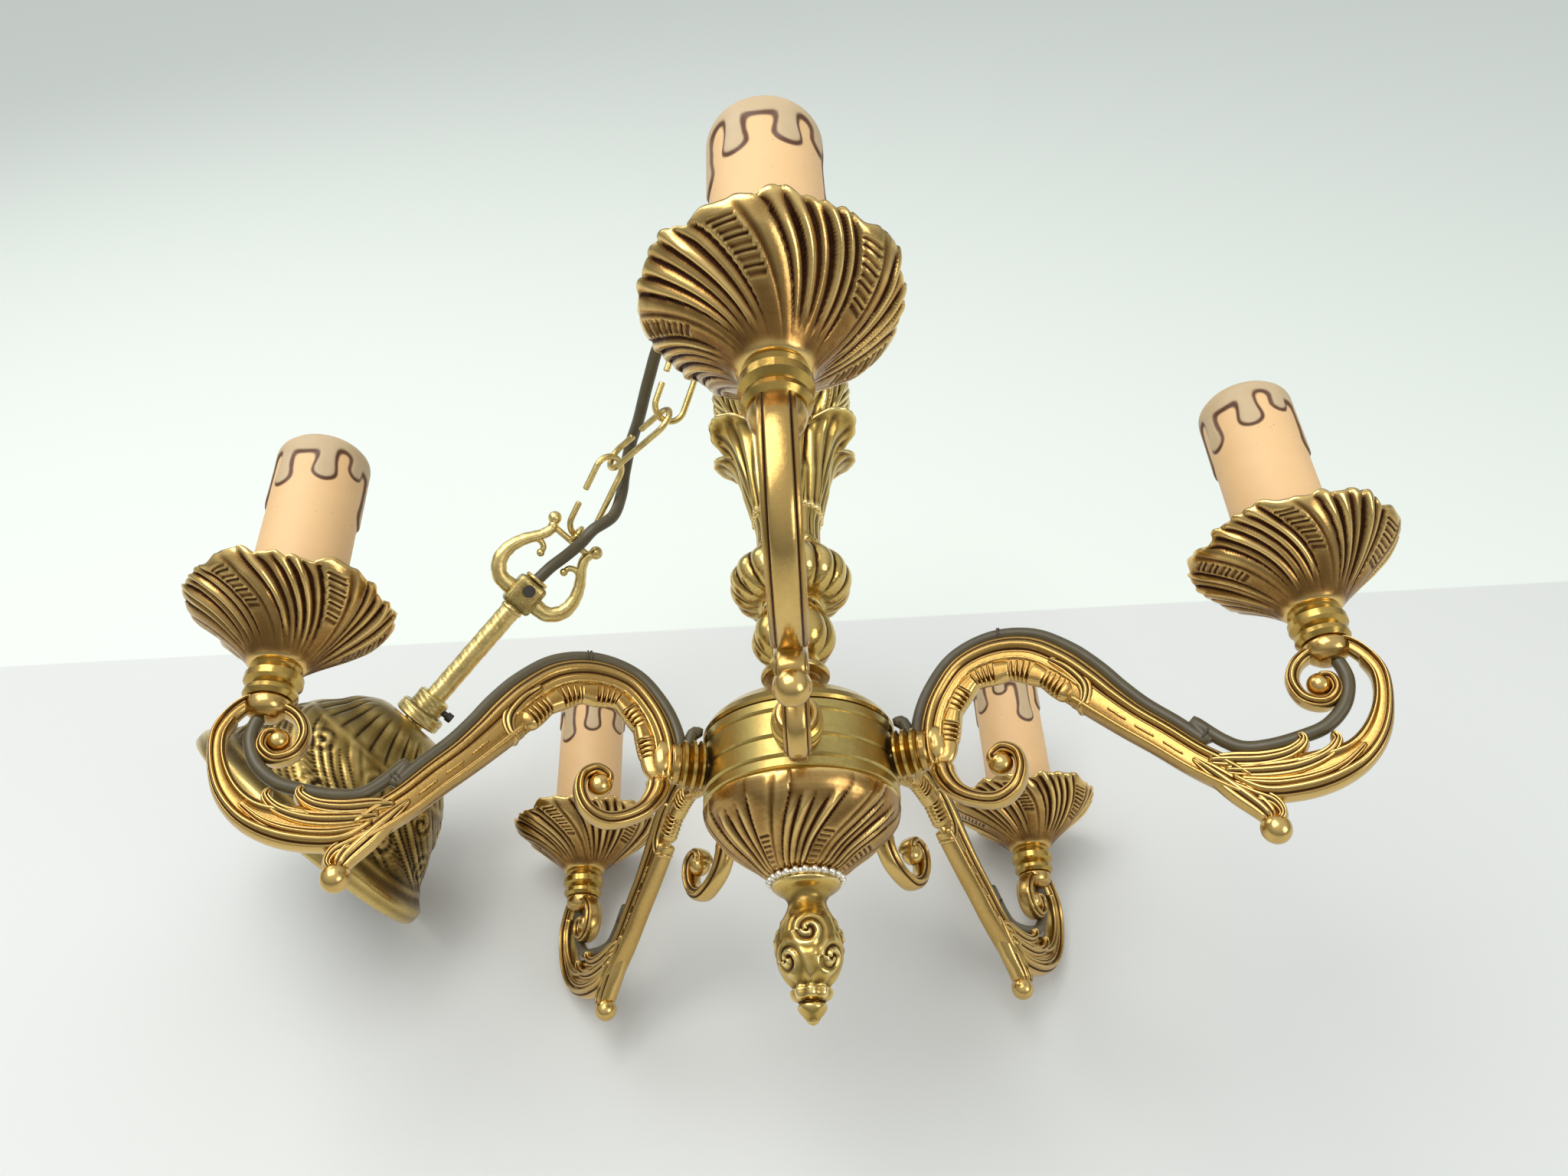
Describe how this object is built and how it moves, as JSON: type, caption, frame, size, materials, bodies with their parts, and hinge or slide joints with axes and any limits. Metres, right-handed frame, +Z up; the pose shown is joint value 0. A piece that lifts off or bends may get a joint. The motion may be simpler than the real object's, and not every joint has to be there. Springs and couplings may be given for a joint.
{
  "type": "multi arm chandelier",
  "caption": "Brass candle-arm chandelier with scrolled arms, fluted cups, candle sleeves, turned stem, chain, lyre hook and ceiling canopy.",
  "frame": {"origin": "middle of the footprint, on the surface that the chandelier lies on", "axes": "+Z is up from that surface, the stem runs toward +Y and 19.2 degrees above the surface, arm 1 stands up in front and +X is to the right. To hang it, turn it +70.8 degrees about X, so that the stem is upright, and set loop_swing to its upper limit, so that the chain and tube run straight up from the stem's loop."},
  "size_m": [0.4759, 0.3416, 0.3724],
  "materials": {
    "antique_brass": "antique gilt, dark in the hollows",
    "bright_brass": "polished",
    "satin_brass": "brushed satin",
    "worn_brass": "worn and mottled",
    "silvered": "dull silvered",
    "candle_plastic": "matte cream",
    "holder_plastic": "matte",
    "flex": "semi-gloss PVC",
    "steel": "plated",
    "dark_steel": "blackened",
    "tie_wire": "wound thread"
  },
  "bodies": {
    "chandelier": {"drum": "satin_brass", "drum_cover": "bright_brass", "bowl": "antique_brass", "bead_ring": "silvered", "finial": "bright_brass", "finial_nut": "bright_brass", "centre_rod": "steel", "rod_nuts": "steel", "stem_collar": "antique_brass", "stem_bulb": "antique_brass", "stem_knop": "antique_brass", "stem_neck": "antique_brass", "leaf_cup": "antique_brass", "stem_vase": "antique_brass", "stem_top": "antique_brass", "top_loop": "antique_brass", "arm_1": "antique_brass", "arm_2": "antique_brass", "arm_3": "antique_brass", "arm_4": "antique_brass", "arm_5": "antique_brass", "cup_1": "antique_brass", "cup_2": "antique_brass", "cup_3": "antique_brass", "cup_4": "antique_brass", "cup_5": "antique_brass", "lampholder_1": "holder_plastic", "lampholder_2": "holder_plastic", "lampholder_3": "holder_plastic", "lampholder_4": "holder_plastic", "lampholder_5": "holder_plastic", "arm_wire_1": "flex", "arm_wire_2": "flex", "arm_wire_3": "flex", "arm_wire_4": "flex", "arm_wire_5": "flex", "hub_spools": "bright_brass", "arm_studs": "steel", "arm_nuts": "steel", "neck_spools": "bright_brass", "holder_nipples": "steel", "wire_ties": "tie_wire", "main_flex": "flex"},
    "candle_1": {"sleeve_1": "candle_plastic"},
    "candle_2": {"sleeve_2": "candle_plastic"},
    "candle_3": {"sleeve_3": "candle_plastic"},
    "candle_4": {"sleeve_4": "candle_plastic"},
    "candle_5": {"sleeve_5": "candle_plastic"},
    "chain_link_1": {"link_1": "worn_brass"},
    "chain_link_2": {"link_2": "worn_brass"},
    "chain_link_3": {"link_3": "worn_brass"},
    "chain_link_4": {"link_4": "worn_brass"},
    "hanger": {"lyre_hook": "worn_brass", "hook_block": "worn_brass", "hook_screw": "dark_steel", "ceiling_tube": "worn_brass", "tube_nut": "steel"},
    "canopy_stop": {"collar": "worn_brass", "grub_screw": "dark_steel"},
    "canopy": {"canopy": "antique_brass"}
  },
  "joints": [
    {"name": "loop_swing", "type": "hinge", "parent": "chandelier", "child": "chain_link_1", "pos_m": [0.03418, 0.16028, 0.23485], "axis": [-0.0941, 0.5023, -0.8596], "range_deg": [0, 117.4], "deforming": ["main_flex"]},
    {"name": "link_2_swing", "type": "hinge", "parent": "chain_link_1", "child": "chain_link_2", "pos_m": [-0.0059, 0.14586, 0.22081], "axis": [-0.4128, 0.428, -0.804], "range_deg": [0, 51.04]},
    {"name": "link_3_swing", "type": "hinge", "parent": "chain_link_2", "child": "chain_link_3", "pos_m": [-0.0203, 0.12364, 0.19355], "axis": [-0.6334, -0.4312, 0.6425], "range_deg": [0, 48.66]},
    {"name": "link_4_swing", "type": "hinge", "parent": "chain_link_3", "child": "chain_link_4", "pos_m": [-0.04913, 0.1266, 0.16897], "axis": [0.284, 0.2373, -0.929], "range_deg": [0, 44.54]},
    {"name": "hook_swing", "type": "hinge", "parent": "chain_link_4", "child": "hanger", "pos_m": [-0.06779, 0.10758, 0.14188], "axis": [0.7865, 0.0496, 0.6156], "range_deg": [0, 36.3]},
    {"name": "canopy_slide", "type": "slide", "parent": "hanger", "child": "canopy_stop", "axis": [0.667, 0.5674, 0.4829], "range_m": [0, 0.045]},
    {"name": "canopy_rock", "type": "hinge", "parent": "canopy_stop", "child": "canopy", "pos_m": [-0.14656, 0.03447, 0.0943], "axis": [0.7422, -0.563, -0.3635], "range_deg": [0, 8.91]},
    {"name": "sleeve_1_lift", "type": "slide", "parent": "chandelier", "child": "candle_1", "axis": [0, 0.9444, 0.3289], "range_m": [0, 0.06]},
    {"name": "sleeve_2_lift", "type": "slide", "parent": "chandelier", "child": "candle_2", "axis": [0, 0.9444, 0.3289], "range_m": [0, 0.06]},
    {"name": "sleeve_3_lift", "type": "slide", "parent": "chandelier", "child": "candle_3", "axis": [0, 0.9444, 0.3289], "range_m": [0, 0.06]},
    {"name": "sleeve_4_lift", "type": "slide", "parent": "chandelier", "child": "candle_4", "axis": [0, 0.9444, 0.3289], "range_m": [0, 0.06]},
    {"name": "sleeve_5_lift", "type": "slide", "parent": "chandelier", "child": "candle_5", "axis": [0, 0.9444, 0.3289], "range_m": [0, 0.06]}
  ],
  "couplings": [
    {"joint": "link_2_swing", "follows": "loop_swing", "ratio": 0.40448},
    {"joint": "link_3_swing", "follows": "loop_swing", "ratio": 0.38422},
    {"joint": "link_4_swing", "follows": "loop_swing", "ratio": 0.34914},
    {"joint": "hook_swing", "follows": "loop_swing", "ratio": 0.27898},
    {"joint": "canopy_rock", "follows": "loop_swing", "ratio": 0.07039}
  ]
}
